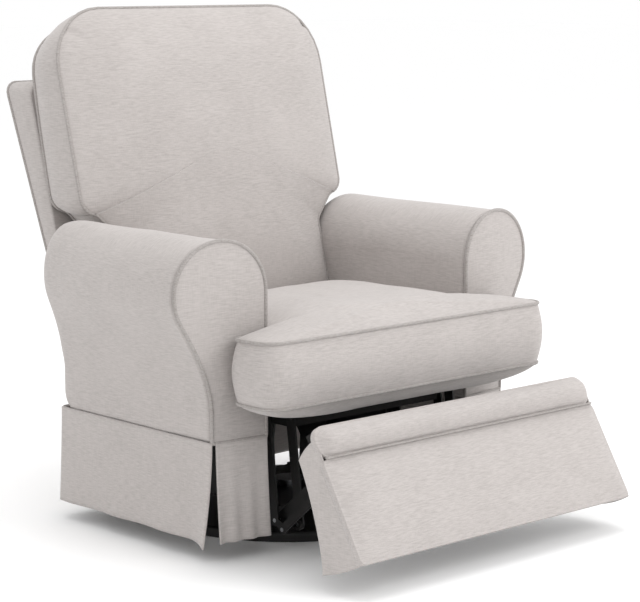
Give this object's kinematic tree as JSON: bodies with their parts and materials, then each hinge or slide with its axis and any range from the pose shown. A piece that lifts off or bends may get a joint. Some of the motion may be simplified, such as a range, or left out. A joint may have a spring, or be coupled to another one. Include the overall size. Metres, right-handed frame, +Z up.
{
  "type": "glider nursery chair",
  "caption": "Skirted upholstered swivel glider with rolled arms, a T-shaped seat cushion, a reclining back and a fold-out footrest, part open.",
  "frame": {"origin": "on the floor at the swivel axis, in the middle of the base disc's underside", "axes": "+Z up, the chair's front faces -Y, the sitter's left hand is at +X"},
  "size_m": [0.92, 1.0753, 1],
  "materials": {
    "upholstery": "woven, matt",
    "wood": "sawn",
    "black_steel": "black powder coat",
    "bright_steel": "zinc plated",
    "bush_plastic": "moulded nylon",
    "lever_plastic": "moulded, satin"
  },
  "bodies": {
    "base": {"base_disc": "black_steel", "bearing_lower_race": "black_steel", "bearing_balls": "bright_steel", "swivel_bolt": "bright_steel"},
    "turntable": {"bearing_upper_race": "black_steel", "turntable_plate": "black_steel", "glider_stands": "black_steel", "glide_upper_pins": "bright_steel"},
    "front_glide_links": {"glide_links_front": "black_steel", "glide_bushes_front": "bush_plastic"},
    "rear_glide_links": {"glide_links_rear": "black_steel", "glide_bushes_rear": "bush_plastic"},
    "carriage": {"glide_rails": "black_steel", "glide_lower_pins": "bright_steel", "cross_bars": "black_steel", "seat_rails_side": "wood", "seat_rails_cross": "wood", "seat_springs": "bright_steel", "spring_clips": "black_steel", "recline_plates": "black_steel", "recline_pins": "bright_steel", "arm_facing_left": "upholstery", "arm_facing_right": "upholstery", "arm_cover_left": "upholstery", "arm_cover_right": "upholstery", "arm_front_boards": "wood", "arm_rear_boards": "wood", "arm_inner_rails": "wood", "arm_roll_rails": "wood", "skirt_side_left": "upholstery", "skirt_side_right": "upholstery", "skirt_fronts": "upholstery", "skirt_rear": "upholstery", "rear_apron": "upholstery", "seat_cushion": "upholstery", "mechanism_plates": "black_steel", "mechanism_spacers": "black_steel", "crank_pins": "bright_steel", "release_bezel": "lever_plastic"},
    "back": {"back_cushion": "upholstery", "outside_back": "upholstery", "back_posts": "wood", "back_wings": "wood", "back_rail_top": "wood", "back_rails": "wood", "recline_brackets": "black_steel", "back_spring_wires": "bright_steel"},
    "rear_crank": {"rear_cranks": "black_steel", "crank_elbow_pins": "bright_steel"},
    "front_crank": {"front_cranks": "black_steel"},
    "footrest_carrier": {"footrest_arms": "black_steel", "footrest_arm_pins": "bright_steel", "footrest_tie_rod": "black_steel"},
    "footrest_stay": {"footrest_stays": "black_steel"},
    "footrest": {"footrest_pad": "upholstery", "footrest_board": "wood", "footrest_flaps": "upholstery", "footrest_brackets": "black_steel", "footrest_stay_pins": "bright_steel"},
    "lever": {"release_lever": "lever_plastic"}
  },
  "joints": [
    {"name": "swivel", "type": "hinge", "parent": "base", "child": "turntable", "pos_m": [0, 0, 0.03], "axis": [0, 0, 1], "continuous": true},
    {"name": "glide", "type": "hinge", "parent": "turntable", "child": "front_glide_links", "pos_m": [0, -0.11, 0.2], "axis": [1, 0, 0], "range_deg": [-25, 25]},
    {"name": "glide_carriage", "type": "hinge", "parent": "front_glide_links", "child": "carriage", "pos_m": [0, -0.11, 0.075], "axis": [1, 0, 0], "range_deg": [-25, 25]},
    {"name": "glide_rear", "type": "hinge", "parent": "turntable", "child": "rear_glide_links", "pos_m": [0, 0.11, 0.2], "axis": [1, 0, 0], "range_deg": [-25, 25]},
    {"name": "recline", "type": "hinge", "parent": "carriage", "child": "back", "pos_m": [0, 0.215, 0.3], "axis": [-1, 0, 0], "range_deg": [0, 30]},
    {"name": "footrest_open", "type": "hinge", "parent": "carriage", "child": "rear_crank", "pos_m": [0, -0.19, 0.262], "axis": [-1, 0, 0], "range_deg": [-31, 59]},
    {"name": "front_crank_turn", "type": "hinge", "parent": "carriage", "child": "front_crank", "pos_m": [0, -0.24, 0.262], "axis": [-1, 0, 0], "range_deg": [-31, 59]},
    {"name": "carrier_turn", "type": "hinge", "parent": "rear_crank", "child": "footrest_carrier", "pos_m": [0, -0.21657, 0.05167], "axis": [-1, 0, 0], "range_deg": [-59, 31]},
    {"name": "stay_turn", "type": "hinge", "parent": "rear_crank", "child": "footrest_stay", "pos_m": [0, -0.24439, 0.04043], "axis": [-1, 0, 0], "range_deg": [-59, 31]},
    {"name": "footrest_tilt", "type": "hinge", "parent": "footrest_carrier", "child": "footrest", "pos_m": [0, -0.42712, 0.23364], "axis": [-1, 0, 0], "range_deg": [-31, 59]},
    {"name": "release", "type": "hinge", "parent": "carriage", "child": "lever", "pos_m": [-0.26, -0.11, 0.482], "axis": [-1, 0, 0], "range_deg": [0, 25], "stiffness_Nm_per_rad": 0.6}
  ],
  "couplings": [
    {"joint": "glide_carriage", "follows": "glide", "ratio": -1},
    {"joint": "glide_rear", "follows": "glide", "ratio": 1},
    {"joint": "front_crank_turn", "follows": "footrest_open", "ratio": 1},
    {"joint": "carrier_turn", "follows": "footrest_open", "ratio": -1},
    {"joint": "stay_turn", "follows": "footrest_open", "ratio": -1},
    {"joint": "footrest_tilt", "follows": "footrest_open", "ratio": 1}
  ]
}
